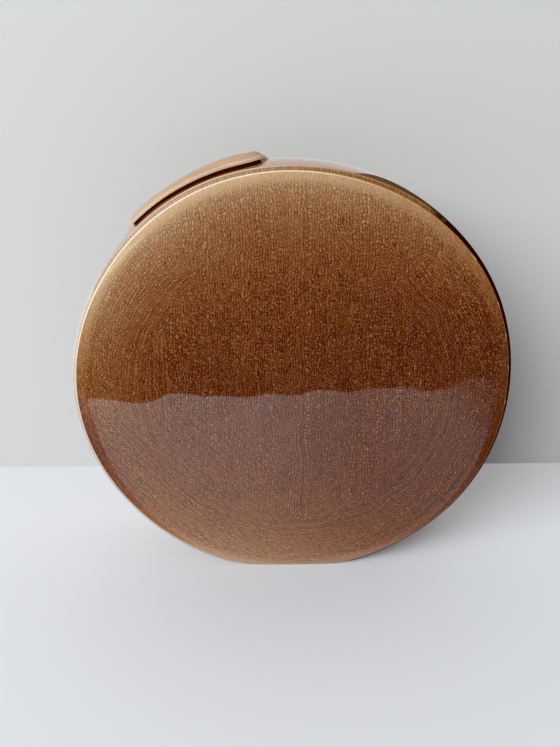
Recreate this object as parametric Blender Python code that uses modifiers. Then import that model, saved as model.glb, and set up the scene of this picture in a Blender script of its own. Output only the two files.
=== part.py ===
"""Disc-shaped stoneware vase with an off-centre oval mouth, as the five pieces of clay it is luted from.

Units are metres. +X is to the right, +Y goes away from the viewer and +Z is up. The origin is on
the table, under the middle of the foot. The disc stands on edge: its axis runs along Y, at
AXIS_HEIGHT above the table, and every turned piece turns about that axis.
"""

from math import cos, pi, radians, sin, sqrt

import bmesh
import bpy

# The disc
SHOULDER_RADIUS = 0.123     # soft outer corner, where a face plate meets the band
BAND_BULGE = 0.002          # how far the band swells past the shoulders at mid depth
DEPTH = 0.061               # from the front ridge to the back ridge
WALL = 0.005                # thickness of the face plates and of the band
SEAM = 0.0003               # gap where two pieces of clay meet

# The edge of a face plate
RIDGE_INSET = 0.0023        # the crisp ridge lies this far inside the shoulder
RIDGE_RISE = 0.002          # and this far in front of it
ROLL_WIDTH = 0.008          # the face rolls over to the ridge within this width
ROLL_DROP = 0.0008          # and drops by this much
FACE_CROWN = 0.0012         # swell of the face from the roll to its middle

# The foot
FOOT_LENGTH = 0.085         # the flat that the vase stands on, from left to right
FOOT_THICKNESS = 0.006      # slab that closes the hoop where it is cut flat

# The mouth and its collar
MOUTH_TILT = radians(25.9)  # the middle of the mouth lies this far left of the top
MOUTH_LENGTH = 0.068        # clear opening, along the rim
MOUTH_WIDTH = 0.019         # clear opening, from front to back
COLLAR_HEIGHT = 0.0043      # how far the collar stands above the band
CREST_INSET = 0.0022        # its crest lies this far outside the opening
RIM_ROUND = 0.0018          # height over which the inner side rounds over to the crest
COLLAR_SLOPE = 0.0073       # width of its outer slope, from the crest down onto the band
SLOPE_EDGE = 0.0003         # thickness left where the slope runs out

# How finely the round shapes are faceted
TURN_STEPS = 96
BAND_STATIONS = 8
CROWN_STATIONS = 3
ROLL_STATIONS = 4
MOUTH_END_STEPS = 8
MOUTH_SIDE_STEPS = 8
RIM_STEPS = 4
SLOPE_STEPS = 8

FULL_RADIUS = SHOULDER_RADIUS + BAND_BULGE
RIDGE_RADIUS = SHOULDER_RADIUS - RIDGE_INSET
SHOULDER_DEPTH = DEPTH / 2 - RIDGE_RISE
PLATE_BACK = DEPTH / 2 - WALL
AXIS_HEIGHT = sqrt(FULL_RADIUS ** 2 - (FOOT_LENGTH / 2) ** 2)
MOUTH_ANGLE = pi / 2 + MOUTH_TILT


def band_radius(across):
    """Outer radius of the disc's edge at a distance in front of or behind its middle plane."""
    return SHOULDER_RADIUS + BAND_BULGE * (1 - (across / SHOULDER_DEPTH) ** 2)


def face_rise(radius):
    """Height of a face above the plane of its ridge, at a distance from the disc's axis."""
    crown = FACE_CROWN * (1 - (radius / RIDGE_RADIUS) ** 2)
    into_roll = max(0.0, (radius - RIDGE_RADIUS + ROLL_WIDTH) / ROLL_WIDTH)
    return crown + ROLL_DROP * sqrt(max(0.0, 1 - into_roll ** 2))


def stations(start, end, count):
    """Evenly spaced values from start to end, both included."""
    return [start + (end - start) * step / count for step in range(count + 1)]


def named_collection(name):
    """A new collection in the scene."""
    collection = bpy.data.collections.new(name)
    bpy.context.scene.collection.children.link(collection)
    return collection


def glaze(name, colour, roughness):
    """A plain Principled material for one piece of the pot."""
    material = bpy.data.materials.new(name)
    material.use_nodes = True
    shader = material.node_tree.nodes["Principled BSDF"]
    shader.inputs["Base Color"].default_value = (*colour, 1.0)
    shader.inputs["Roughness"].default_value = roughness
    shader.inputs["Metallic"].default_value = 0.0
    return material


def placed(name, mesh, collection, material=None):
    """An object for a mesh whose own origin is on the disc's axis."""
    item = bpy.data.objects.new(name, mesh)
    item.location.z = AXIS_HEIGHT
    collection.objects.link(item)
    if material:
        mesh.materials.append(material)
    return item


def turned(name, profile, closed, collection, material=None):
    """A solid turned about the Y axis from (radius, towards the viewer) points.

    The points run from the front round the outside to the back. A closed profile makes a hoop,
    and an open one starts and ends on the axis.
    """
    edges = [(step, step + 1) for step in range(len(profile) - 1)]
    if closed:
        edges.append((len(profile) - 1, 0))
    mesh = bpy.data.meshes.new(name)
    mesh.from_pydata([(radius, 0.0, towards) for radius, towards in profile], edges, [])
    item = placed(name, mesh, collection, material)
    item.rotation_euler.x = pi / 2
    turn = item.modifiers.new("turn", "SCREW")
    turn.axis = "Z"
    turn.angle = 2 * pi
    turn.steps = TURN_STEPS
    turn.render_steps = TURN_STEPS
    turn.use_merge_vertices = True
    turn.merge_threshold = 0.00001
    turn.use_smooth_shade = True
    return item


def boolean(item, other, operation="DIFFERENCE"):
    """Cuts an object with another, or keeps what the two share."""
    modifier = item.modifiers.new(operation.lower(), "BOOLEAN")
    modifier.operation = operation
    modifier.solver = "EXACT"
    modifier.object = other


def hide_cutter(cutter):
    """Marks a guide shape, so that it is never part of the model."""
    cutter.hide_render = True
    cutter.display_type = "WIRE"
    return cutter


def level_block(name, low, high, collection):
    """A block wider than the vase, between two heights above the table."""
    mesh = bpy.data.meshes.new(name)
    block = bmesh.new()
    bmesh.ops.create_cube(block, size=1.0)
    bmesh.ops.scale(block, vec=(3 * FULL_RADIUS, 3 * DEPTH, high - low), verts=block.verts)
    bmesh.ops.translate(block, vec=(0.0, 0.0, (low + high) / 2 - AXIS_HEIGHT), verts=block.verts)
    block.to_mesh(mesh)
    block.free()
    return hide_cutter(placed(name, mesh, collection))


def plate_profile():
    """Half section of the front face plate: the face, the ridge, the shoulder and the inside."""
    flat_radius = RIDGE_RADIUS - ROLL_WIDTH
    radii = stations(0.0, flat_radius, CROWN_STATIONS)
    radii += [flat_radius + ROLL_WIDTH * sin(turn) for turn in stations(0.0, pi / 2, ROLL_STATIONS)[1:]]
    profile = [(radius, DEPTH / 2 + face_rise(radius)) for radius in radii]
    profile.append((SHOULDER_RADIUS, SHOULDER_DEPTH))
    profile.append((band_radius(PLATE_BACK), PLATE_BACK))
    inner_radius = band_radius(PLATE_BACK) - WALL
    for radius in stations(inner_radius, 0.0, CROWN_STATIONS):
        hollow = FACE_CROWN * (1 - (radius / inner_radius) ** 2)
        profile.append((radius, PLATE_BACK + hollow))
    return profile


def edge_profile(half_depth):
    """Outer side of the disc's edge, from front to back, between two planes."""
    return [(band_radius(across), across) for across in stations(half_depth, -half_depth, BAND_STATIONS)]


def mouth_outline(spread):
    """(along, across) points round the mouth's outline, spread outwards by a distance.

    The outline has straight sides and round ends, and the sides have points of their own because
    they bend with the rim.
    """
    end_radius = MOUTH_WIDTH / 2 + spread
    straight = (MOUTH_LENGTH - MOUTH_WIDTH) / 2
    points = []
    for side in (1, -1):
        for along in stations(side * straight, -side * straight, MOUTH_SIDE_STEPS)[:-1]:
            points.append((along, side * end_radius))
        for turn in stations(0.0, pi, MOUTH_END_STEPS)[:-1]:
            points.append((-side * (straight + end_radius * sin(turn)), side * end_radius * cos(turn)))
    return points


def on_rim(along, across, height):
    """Point above the band, from the mouth's middle along the rim, measured from the disc's axis."""
    angle = MOUTH_ANGLE - along / FULL_RADIUS
    radius = band_radius(across) + height
    return (radius * cos(angle), across, radius * sin(angle))


def lofted(name, loops, ring, collection, material=None):
    """A closed solid through equal loops of points: a ring of loops, or a stack with closed ends."""
    mesh = bpy.data.meshes.new(name)
    body = bmesh.new()
    rows = [[body.verts.new(point) for point in loop] for loop in loops]
    pairs = list(zip(rows, rows[1:] + rows[:1])) if ring else list(zip(rows, rows[1:]))
    for lower, upper in pairs:
        for step in range(len(lower)):
            following = (step + 1) % len(lower)
            body.faces.new((lower[step], lower[following], upper[following], upper[step]))
    if not ring:
        ends = [body.faces.new(rows[0]), body.faces.new(rows[-1])]
        bmesh.ops.triangulate(body, faces=ends)
    bmesh.ops.recalc_face_normals(body, faces=body.faces)
    body.to_mesh(mesh)
    body.free()
    mesh.shade_smooth()
    mesh.set_sharp_from_angle(angle=radians(40))
    return placed(name, mesh, collection, material)


def collar_profile():
    """(spread, height) points round the collar's wall: up the inside, over the crest, down the slope.

    The outside is an S: it falls away round from the crest and runs out hollow onto the band.
    """
    points = [(0.0, 0.0)]
    for turn in stations(0.0, pi / 2, RIM_STEPS):
        points.append((CREST_INSET * (1 - cos(turn)), COLLAR_HEIGHT - RIM_ROUND * (1 - sin(turn))))
    for turn in stations(0.0, pi, SLOPE_STEPS)[1:]:
        height = SLOPE_EDGE + (COLLAR_HEIGHT - SLOPE_EDGE) * (1 + cos(turn)) / 2
        points.append((CREST_INSET + COLLAR_SLOPE * turn / pi, height))
    points.append((CREST_INSET + COLLAR_SLOPE, 0.0))
    return points


def make_collar(collection, material):
    """The raised oval collar, bent along the rim and seated on the band."""
    loops = []
    for spread, height in collar_profile():
        outline = mouth_outline(spread)
        loops.append([on_rim(along, across, SEAM + height) for along, across in outline])
    return lofted("mouth_collar", loops, True, collection, material)


def make_mouth_cutter(collection):
    """A plug with the mouth's outline, through the band's wall and out past the collar."""
    reach = WALL + COLLAR_HEIGHT
    outline = mouth_outline(0.0)
    loops = [[on_rim(along, across, height) for along, across in outline] for height in (-reach, reach)]
    return hide_cutter(lofted("mouth_cutter", loops, False, collection))


def build():
    """Makes the five pieces of the vase."""
    for item in list(bpy.data.objects):
        bpy.data.objects.remove(item, do_unlink=True)
    vase = named_collection("disc_vase")
    cutters = named_collection("cutters")

    face_glaze = glaze("face_glaze", (0.16, 0.055, 0.02), 0.12)
    band_glaze = glaze("band_glaze", (0.30, 0.16, 0.08), 0.15)
    collar_glaze = glaze("collar_glaze", (0.42, 0.25, 0.13), 0.15)
    bare_clay = glaze("bare_clay", (0.42, 0.33, 0.24), 0.8)

    below_table = level_block("below_table", -FULL_RADIUS, 0.0, cutters)
    below_hoop = level_block("below_hoop", -FULL_RADIUS, FOOT_THICKNESS + SEAM, cutters)
    foot_layer = level_block("foot_layer", 0.0, FOOT_THICKNESS, cutters)
    mouth_cutter = make_mouth_cutter(cutters)

    for name, facing in (("front_face", 1), ("back_face", -1)):
        plate = turned(name, plate_profile(), False, vase, face_glaze)
        plate.rotation_euler.x = facing * pi / 2
        boolean(plate, below_table)

    half_depth = PLATE_BACK - SEAM
    outside = edge_profile(half_depth)
    inside = [(radius - WALL, across) for radius, across in reversed(outside)]
    band = turned("side_band", outside + inside, True, vase, band_glaze)
    boolean(band, below_hoop)
    boolean(band, mouth_cutter)

    on_axis = [(0.0, half_depth), (0.0, -half_depth)]
    foot = turned("foot_slab", on_axis[:1] + outside + on_axis[1:], False, vase, bare_clay)
    boolean(foot, foot_layer, "INTERSECT")

    make_collar(vase, collar_glaze)


build()
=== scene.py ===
"""Looks of the disc vase: brown crackle glaze over stoneware, on a pale table in soft daylight.

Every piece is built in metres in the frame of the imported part: +X to the right, +Y away from the
viewer, +Z up, with the origin on the table under the middle of the foot. Angles round the disc are
counted from +X towards +Z, as seen from the front.
"""

import logging
from dataclasses import dataclass
from enum import Enum
from math import cos, pi, radians, sin
from typing import Any

import bmesh
import bpy
import numpy as np
from mathutils import Matrix, Vector


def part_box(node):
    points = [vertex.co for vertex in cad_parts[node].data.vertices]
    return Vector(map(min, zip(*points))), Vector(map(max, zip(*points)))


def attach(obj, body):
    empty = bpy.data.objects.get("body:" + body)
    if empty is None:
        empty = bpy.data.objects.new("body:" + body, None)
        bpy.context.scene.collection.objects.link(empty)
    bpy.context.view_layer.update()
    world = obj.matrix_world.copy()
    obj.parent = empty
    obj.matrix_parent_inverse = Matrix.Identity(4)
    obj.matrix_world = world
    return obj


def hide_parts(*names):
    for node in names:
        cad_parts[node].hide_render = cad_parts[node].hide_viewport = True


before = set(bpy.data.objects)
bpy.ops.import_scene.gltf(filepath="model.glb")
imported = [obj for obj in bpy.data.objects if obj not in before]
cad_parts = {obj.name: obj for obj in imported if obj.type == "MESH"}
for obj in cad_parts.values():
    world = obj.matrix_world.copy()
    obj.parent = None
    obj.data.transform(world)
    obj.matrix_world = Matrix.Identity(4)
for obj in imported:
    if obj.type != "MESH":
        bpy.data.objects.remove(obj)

log = logging.getLogger("disc_vase")

BODY = "root"
MILLIMETRE = 0.001
WELD = 1e-6
FINISH = "Finish"

# A Mix node keeps its colours behind its values and its vectors.
MIX_FIRST, MIX_SECOND, MIX_RESULT = 6, 7, 2


class Side(Enum):
    """The two faces of the disc, by the way they look along Y."""

    FRONT = -1
    BACK = 1


class Mark(Enum):
    """Values kept at the points of a mesh, which the glaze reads."""

    THIN = "glaze_thin"
    POOL = "glaze_pool"
    RIM = "rim_zone"


class Way(Enum):
    """Directions from the disc's axis, in degrees from +X towards +Z."""

    RIGHT = -10
    TOP = 106
    UPPER_LEFT = 150
    LEFT = 165
    LOWER_LEFT = 190
    BOTTOM = 262


class Field:
    """A value, vector or colour in a node tree, which takes part in Python expressions."""

    def __init__(self, graph: "Graph", socket: bpy.types.NodeSocket) -> None:
        """Wraps one output socket of a graph."""
        self.graph = graph
        self.socket = socket

    def other(self, name: str | int) -> "Field":
        """Another output of the same node."""
        return Field(self.graph, self.socket.node.outputs[name])

    def __add__(self, value: "Field | float") -> "Field":
        """Sum of two values."""
        return self.graph.maths("ADD", self, value)

    __radd__ = __add__

    def __sub__(self, value: "Field | float") -> "Field":
        """This value less another."""
        return self.graph.maths("SUBTRACT", self, value)

    def __rsub__(self, value: "Field | float") -> "Field":
        """Another value less this one."""
        return self.graph.maths("SUBTRACT", value, self)

    def __mul__(self, value: "Field | float") -> "Field":
        """Product of two values."""
        return self.graph.maths("MULTIPLY", self, value)

    __rmul__ = __mul__

    def __truediv__(self, value: "Field | float") -> "Field":
        """This value over another."""
        return self.graph.maths("DIVIDE", self, value)

    def __rtruediv__(self, value: "Field | float") -> "Field":
        """Another value over this one."""
        return self.graph.maths("DIVIDE", value, self)

    def __pow__(self, value: "Field | float") -> "Field":
        """This value raised to a power."""
        return self.graph.maths("POWER", self, value)

    def __neg__(self) -> "Field":
        """This value with its sign turned."""
        return self.graph.maths("MULTIPLY", self, -1.0)


class Graph:
    """A shader or geometry node tree that is written as expressions."""

    def __init__(self, tree: bpy.types.NodeTree) -> None:
        """Starts from an empty tree.

        Args:
            tree: the node tree to fill.
        """
        self.tree = tree
        tree.nodes.clear()

    def node(
        self,
        kind: str,
        settings: dict[str, Any] | None = None,
        inputs: dict[str | int, Any] | None = None,
        output: str | int = 0,
    ) -> Field:
        """Adds a node.

        Args:
            kind: the node's type.
            settings: its own properties, or "stops" for a colour ramp's (place, colour) pairs.
            inputs: values or fields for its sockets, by name or number.
            output: the output to return.

        Returns:
            The chosen output.
        """
        added = self.tree.nodes.new(kind)
        for name, value in (settings or {}).items():
            if name == "stops":
                self._set_stops(added.color_ramp, value)
            else:
                setattr(added, name, value)
        for key, value in (inputs or {}).items():
            if isinstance(value, Field):
                self.tree.links.new(value.socket, added.inputs[key])
            else:
                added.inputs[key].default_value = value
        return Field(self, added.outputs[output] if len(added.outputs) else None)

    @staticmethod
    def _set_stops(ramp: bpy.types.ColorRamp, stops: list[tuple[float, tuple]]) -> None:
        """Gives a ramp its stops.

        Args:
            ramp: the ramp.
            stops: places and colours, from low to high.
        """
        while len(ramp.elements) < len(stops):
            ramp.elements.new(1.0)
        for element, (place, colour) in zip(ramp.elements, stops):
            element.position = place
            element.color = (*colour, 1.0)

    def maths(self, operation: str, first: Any, second: Any = 0.0) -> Field:
        """Result of a Math node on one or two values."""
        return self.node("ShaderNodeMath", {"operation": operation}, {0: first, 1: second})

    def clamped(self, value: Any, low: float = 0.0, high: float = 1.0) -> Field:
        """A value held between two limits."""
        return self.node("ShaderNodeClamp", {}, {"Value": value, "Min": low, "Max": high})

    def step(self, value: Field, start: float, end: float) -> Field:
        """Smooth border between two values.

        Args:
            value: what is tested.
            start: where the result is 0.
            end: where the result is 1, above or below the start.

        Returns:
            A value from 0 to 1.
        """
        low, high = min(start, end), max(start, end)
        rise = self.node(
            "ShaderNodeMapRange",
            {"interpolation_type": "SMOOTHSTEP"},
            {"Value": value, "From Min": low, "From Max": high},
        )
        return rise if end > start else 1.0 - rise

    def vector(self, x: Any, y: Any, z: Any) -> Field:
        """A vector from its three parts."""
        return self.node("ShaderNodeCombineXYZ", {}, {"X": x, "Y": y, "Z": z})

    def parts(self, vector: Field) -> tuple[Field, Field, Field]:
        """The three parts of a vector."""
        x = self.node("ShaderNodeSeparateXYZ", {}, {"Vector": vector})
        return x, x.other("Y"), x.other("Z")

    def vector_maths(self, operation: str, first: Any, second: Any) -> Field:
        """Result of a Vector Math node on two vectors."""
        return self.node("ShaderNodeVectorMath", {"operation": operation}, {0: first, 1: second})

    def blend(self, factor: Any, first: Any, second: Any) -> Field:
        """Mix of two colours.

        Args:
            factor: 0 for all of the first and 1 for all of the second.
            first: a colour.
            second: another colour.

        Returns:
            The mixed colour.
        """
        settings = {"data_type": "RGBA", "clamp_factor": True}
        inputs = {0: factor, MIX_FIRST: first, MIX_SECOND: second}
        return self.node("ShaderNodeMix", settings, inputs, MIX_RESULT)

    def noise(self, place: Field, size: float, detail: float = 2.0) -> Field:
        """Smooth noise with features of about a given size in metres, from 0 to 1."""
        inputs = {"Vector": place, "Scale": 1 / size, "Detail": detail}
        return self.node("ShaderNodeTexNoise", {}, inputs)


@dataclass(frozen=True)
class Disc:
    """The sizes that all the pieces share.

    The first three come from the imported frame. The next nine repeat the part's own, but for
    foot_height, which lies in the seam that the part leaves over its foot slab. The last four
    are the unevenness of hand work.
    """

    full_radius: float
    axis_height: float
    joint_depth: float
    swell: float = 0.002
    ridge_inset: float = 0.0023
    ridge_rise: float = 0.002
    ridge_depth: float = 0.0305
    roll_width: float = 0.008
    roll_drop: float = 0.0008
    crown: float = 0.0012
    wall: float = 0.005
    foot_height: float = 0.0062
    out_of_round: float = 0.00045
    lobes: int = 5
    lobe_turn: float = radians(40)
    settled_height: float = 0.02

    @classmethod
    def from_frame(cls) -> "Disc":
        """Reads the hoop's radius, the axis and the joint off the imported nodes.

        Returns:
            The disc's sizes.
        """
        low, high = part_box("side_band")
        plate_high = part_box("front_face")[1]
        radius = (high.x - low.x) / 2
        return cls(radius, high.z - radius, -plate_high.y)

    @property
    def shoulder_radius(self) -> float:
        """Radius of the soft outer corner of a face plate."""
        return self.full_radius - self.swell

    @property
    def ridge_radius(self) -> float:
        """Radius of the crisp ridge round a face."""
        return self.shoulder_radius - self.ridge_inset

    @property
    def shoulder_depth(self) -> float:
        """Distance of the shoulder from the disc's middle plane."""
        return self.ridge_depth - self.ridge_rise

    def band_radius(self, across: Any) -> Any:
        """Outer radius of the disc's edge at a distance from its middle plane, for values or fields."""
        share = across / self.shoulder_depth
        return self.shoulder_radius + self.swell * (1 - share * share)

    def face_depth(self, radius: np.ndarray) -> np.ndarray:
        """Shape of a face.

        Args:
            radius: distances from the axis.

        Returns:
            The face's distance from the disc's middle plane there.
        """
        crown = self.crown * (1 - (radius / self.ridge_radius) ** 2)
        into_roll = np.clip((radius - self.ridge_radius + self.roll_width) / self.roll_width, 0, 1)
        return self.ridge_depth + crown + self.roll_drop * (1 - into_roll**3)

    def floor_limit(self, angles: np.ndarray) -> np.ndarray:
        """Distance from the axis to the table.

        Args:
            angles: the directions round the axis.

        Returns:
            The distance along each, or a large one where it never meets the table.
        """
        hardly_down, far = 1e-6, 10 * self.full_radius
        down = np.maximum(-np.sin(angles), hardly_down)
        return np.minimum(self.axis_height / down, far)

    def unevenness(self, points: np.ndarray) -> np.ndarray:
        """Moves points by what pressing and smoothing by hand left.

        The outline is out of round by about half a millimetre, and the faces undulate by at most
        about a tenth. Everything settles to nothing at the table, so that the foot stays flat.

        Args:
            points: (n, 3) places in the frame.

        Returns:
            The moved places.
        """
        x, y, z = points[:, 0], points[:, 1], points[:, 2] - self.axis_height
        angle, radius = np.arctan2(z, x), np.hypot(x, z)
        settle = np.clip(points[:, 2] / self.settled_height, 0, 1)
        settle = settle * settle * (3 - 2 * settle)
        reach = (radius / self.full_radius) ** 3 * settle
        out = self.out_of_round * np.cos(self.lobes * (angle - self.lobe_turn)) * reach
        # Each wave: its lengths across and up in millimetres, its phase, and its height in millimetres.
        waves = (
            (83, 110, 0.7, 0.055),
            (-52, 67, 2.1, 0.035),
            (41, -36, 4.0, 0.02),
            (29, 23, 5.2, 0.011),
        )
        lift = sum(
            tall * np.sin(2 * pi * (x / across + z / up) / MILLIMETRE + phase + 3 * np.sign(y))
            for across, up, phase, tall in waves
        )
        moved = points.copy()
        moved[:, 0] += out * np.cos(angle)
        moved[:, 2] += out * np.sin(angle)
        moved[:, 1] += lift * MILLIMETRE * settle * (y / self.ridge_depth) ** 3
        return moved


def smooth_mesh(mesh: bpy.types.Mesh, sharp: float = 50.0) -> None:
    """Turns a mesh's faces outwards and shades it smooth but for its sharp edges.

    Args:
        mesh: the mesh to finish.
        sharp: edges that turn by more than this many degrees stay crisp.
    """
    body = bmesh.new()
    body.from_mesh(mesh)
    bmesh.ops.remove_doubles(body, verts=body.verts, dist=WELD)
    bmesh.ops.recalc_face_normals(body, faces=body.faces)
    body.to_mesh(mesh)
    body.free()
    mesh.shade_smooth()
    mesh.set_sharp_from_angle(angle=radians(sharp))


def add_piece(name: str, mesh: bpy.types.Mesh, slot: str, *nodes: str) -> bpy.types.Object:
    """Puts a finished mesh into the scene as a piece that stands for CAD nodes.

    Args:
        name: the piece's name.
        mesh: its mesh, in the frame.
        slot: not used.
        nodes: the CAD nodes that it replaces.

    Returns:
        The piece.
    """
    mesh.name = name
    piece = bpy.data.objects.new(name, mesh)
    bpy.context.scene.collection.objects.link(piece)
    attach(piece, BODY)
    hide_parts(*nodes)
    log.info("%s: %d faces", name, len(mesh.polygons))
    return piece


def keep_marks(mesh: bpy.types.Mesh, marks: dict[Mark, np.ndarray]) -> None:
    """Stores values at the points of a mesh.

    Args:
        mesh: the mesh.
        marks: the values for all points, by mark.
    """
    for mark, values in marks.items():
        layer = mesh.attributes.new(mark.value, "FLOAT", "POINT")
        layer.data.foreach_set("value", np.ascontiguousarray(values, dtype=np.float32).ravel())


def shape_by_hand(mesh: bpy.types.Mesh, disc: Disc) -> None:
    """Gives a mesh the unevenness that all the pieces share.

    Args:
        mesh: the mesh to change.
        disc: the disc's sizes.
    """
    places = np.empty(len(mesh.vertices) * 3, np.float32)
    mesh.vertices.foreach_get("co", places)
    moved = disc.unevenness(places.reshape(-1, 3).astype(float))
    mesh.vertices.foreach_set("co", moved.astype(np.float32).ravel())
    mesh.update()


def turned_grid(name: str, points: np.ndarray, marks: dict[Mark, np.ndarray]) -> bpy.types.Mesh:
    """A closed mesh from rows of points that go round, whose first and last rows are single points.

    Args:
        name: the mesh's name.
        points: (rows, steps, 3) places.
        marks: (rows, steps) values to keep at the points.

    Returns:
        The mesh.
    """
    rows, steps = points.shape[:2]
    body = points[1:-1].reshape(-1, 3)
    places = np.vstack([points[0, :1], body, points[-1, :1]])
    index = 1 + np.arange((rows - 2) * steps).reshape(rows - 2, steps)
    after = np.roll(index, -1, axis=1)
    quads = np.stack([index[:-1], after[:-1], after[1:], index[1:]], -1).reshape(-1, 4)
    last = len(places) - 1
    faces = quads.tolist()
    faces += [(0, after[0, step], index[0, step]) for step in range(steps)]
    faces += [(last, index[-1, step], after[-1, step]) for step in range(steps)]
    mesh = bpy.data.meshes.new(name)
    mesh.from_pydata(places.tolist(), [], [tuple(int(corner) for corner in face) for face in faces])
    flat = {
        mark: np.concatenate([values[0, :1], values[1:-1].ravel(), values[-1, :1]])
        for mark, values in marks.items()
    }
    keep_marks(mesh, flat)
    return mesh


def along_bend(start: np.ndarray, corner: np.ndarray, end: np.ndarray, steps: int) -> list[np.ndarray]:
    """Points round a corner, as a soft bend drawn towards it.

    Args:
        start: where the bend begins.
        corner: the corner that it cuts.
        end: where the bend ends.
        steps: how many steps it takes.

    Returns:
        The points, with start and end among them.
    """
    bend = []
    for share in np.linspace(0, 1, steps + 1):
        bend.append((1 - share) ** 2 * start + 2 * share * (1 - share) * corner + share**2 * end)
    return bend


def towards(start: np.ndarray, end: np.ndarray, distance: float) -> np.ndarray:
    """Points on the way from one row of points to another.

    Args:
        start: where they begin.
        end: what they make for.
        distance: how far they go.

    Returns:
        The points.
    """
    way = end - start
    length = np.linalg.norm(way, axis=-1, keepdims=True)
    return start + way * distance / np.maximum(length, 1e-9)


def bell(place: Any, middle: float, half_width: float) -> Any:
    """A soft hump that is 1 at its middle and falls away over its half width."""
    return np.exp(-(((place - middle) / half_width) ** 2))


@dataclass
class FacePlate:
    """One round face of the vase, with its rolled edge, ridge, chamfer and shoulder."""

    disc: Disc
    side: Side
    steps: int = 480
    face_rows: int = 26
    roll_rows: int = 12
    inner_rows: int = 8
    bend_steps: int = 6
    ridge_bend: float = 0.00055
    shoulder_bend: float = 0.0011
    ridge_line: tuple[float, float] = (0.45, 0.26)
    shoulder_line: tuple[float, float] = (0.5, 0.2)
    worn_least: float = 0.14
    worn_and_lit_left: float = 0.68
    worn_low_left: float = 0.35
    chips: tuple[float, ...] = (40.0, 26.0, 17.0, 8.0, -2.0)
    chip_depth: float = 0.9
    chip_half_width: float = radians(0.6)
    foot_fade: float = 0.002
    # Direction of the painted shade on the chamfer's unlit side.
    painted_shade_way: float = radians(-20)

    def worn_and_lit(self, angles: np.ndarray) -> np.ndarray:
        """How thin the glaze lies on the ridge along each direction.

        It is paler on the left and on top, partly thin glaze and partly a painted highlight where the light
        falls, and thinner at a few small chips on the right.

        Args:
            angles: the directions round the axis.

        Returns:
            Values from 0 to 1.
        """
        towards_left = (1 - np.cos(angles - radians(-30))) / 2
        thin = self.worn_least + self.worn_and_lit_left * np.clip(towards_left * 2 - 0.8, 0, 1)
        thin = thin + self.worn_low_left * np.clip(np.cos(angles - radians(225)), 0, 1)
        for chip in self.chips:
            gap = (angles - radians(chip) + pi) % (2 * pi) - pi
            thin = thin + self.chip_depth * bell(gap, 0.0, self.chip_half_width)
        return np.clip(thin, 0, 1)

    def section(self, angles: np.ndarray) -> tuple[np.ndarray, dict[Mark, np.ndarray]]:
        """Rows of (distance from the axis, depth) along each direction, from the face's middle.

        Near the table the ridge, the shoulder and the joint stop at the floor, so the flat of the
        foot closes the plate there.

        Args:
            angles: the directions round the axis.

        Returns:
            (rows, directions, 2) points and the marks at them.
        """
        disc, limit = self.disc, self.disc.floor_limit(angles)
        edge = np.minimum(disc.ridge_radius, limit)
        ridge = np.stack([edge, disc.face_depth(edge)], -1)
        shoulder_radius = np.minimum(disc.shoulder_radius, limit)
        shoulder = np.stack([shoulder_radius, 0 * edge + disc.shoulder_depth], -1)
        joint_radius = np.minimum(disc.band_radius(disc.joint_depth), limit)
        joint = np.stack([joint_radius, 0 * edge + disc.joint_depth], -1)

        rows, thin, rim, pool = [], [], [], []
        # The chamfer's right side is painted near-black: a painted shade on the side that the light misses.
        painted_shade_side = np.clip(np.cos(angles - self.painted_shade_way) * 2.2 - 0.1, 0, 1)

        def add(points: np.ndarray, thinness_and_highlight: float | np.ndarray, outside: float, depth: float = 0) -> None:
            """Adds a row.

            Args:
                points: its points.
                thinness_and_highlight: how thin the glaze lies there, with the painted highlight on the
                    ridge.
                outside: 0 on the face, 1 outside the ridge.
                depth: how dark the painted shade on the chamfer is there, before it fades away from the
                    right side.
            """
            rows.append(points)
            pool.append(depth * painted_shade_side)
            thin.append(0 * edge + thinness_and_highlight)
            rim.append(0 * edge + outside)

        def on_face(radius: np.ndarray) -> np.ndarray:
            """The face's points at distances from the axis."""
            return np.stack([radius, disc.face_depth(radius)], -1)

        for share in np.linspace(0, 1, self.face_rows + 1):
            add(on_face(share * (edge - disc.roll_width)), 0, 0)
        roll = disc.roll_width - self.ridge_bend
        for share in np.linspace(0, pi / 2, self.roll_rows + 1)[1:]:
            distance = edge - self.ridge_bend - roll * (1 - sin(share))
            add(on_face(distance), 0, 0)
        on_rim = np.clip((limit - disc.ridge_radius) / self.foot_fade, 0, 1) * self.worn_and_lit(angles)
        start, end = on_face(edge - self.ridge_bend), towards(ridge, shoulder, self.ridge_bend)
        for place, point in enumerate(along_bend(start, ridge, end, self.bend_steps)[1:], start=1):
            share = place / self.bend_steps
            add(point, bell(share, *self.ridge_line) * on_rim, share, share**2)
        add((ridge + shoulder) / 2, 0, 1, 1)
        start = towards(shoulder, ridge, self.shoulder_bend)
        end = towards(shoulder, joint, self.shoulder_bend)
        for place, point in enumerate(along_bend(start, shoulder, end, self.bend_steps)):
            share = place / self.bend_steps
            add(point, bell(share, *self.shoulder_line) * on_rim, 1, 1)
        add((end + joint) / 2, 0, 1)
        add(joint, 0, 1)
        inner = joint_radius - disc.wall
        for share in np.linspace(1, 0, self.inner_rows + 1):
            hollow = disc.crown * (1 - share**2)
            add(np.stack([share * inner, 0 * edge + disc.joint_depth + hollow], -1), 0, 1)
        marks = {Mark.THIN: np.array(thin), Mark.RIM: np.array(rim), Mark.POOL: np.array(pool)}
        return np.array(rows), marks

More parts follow.
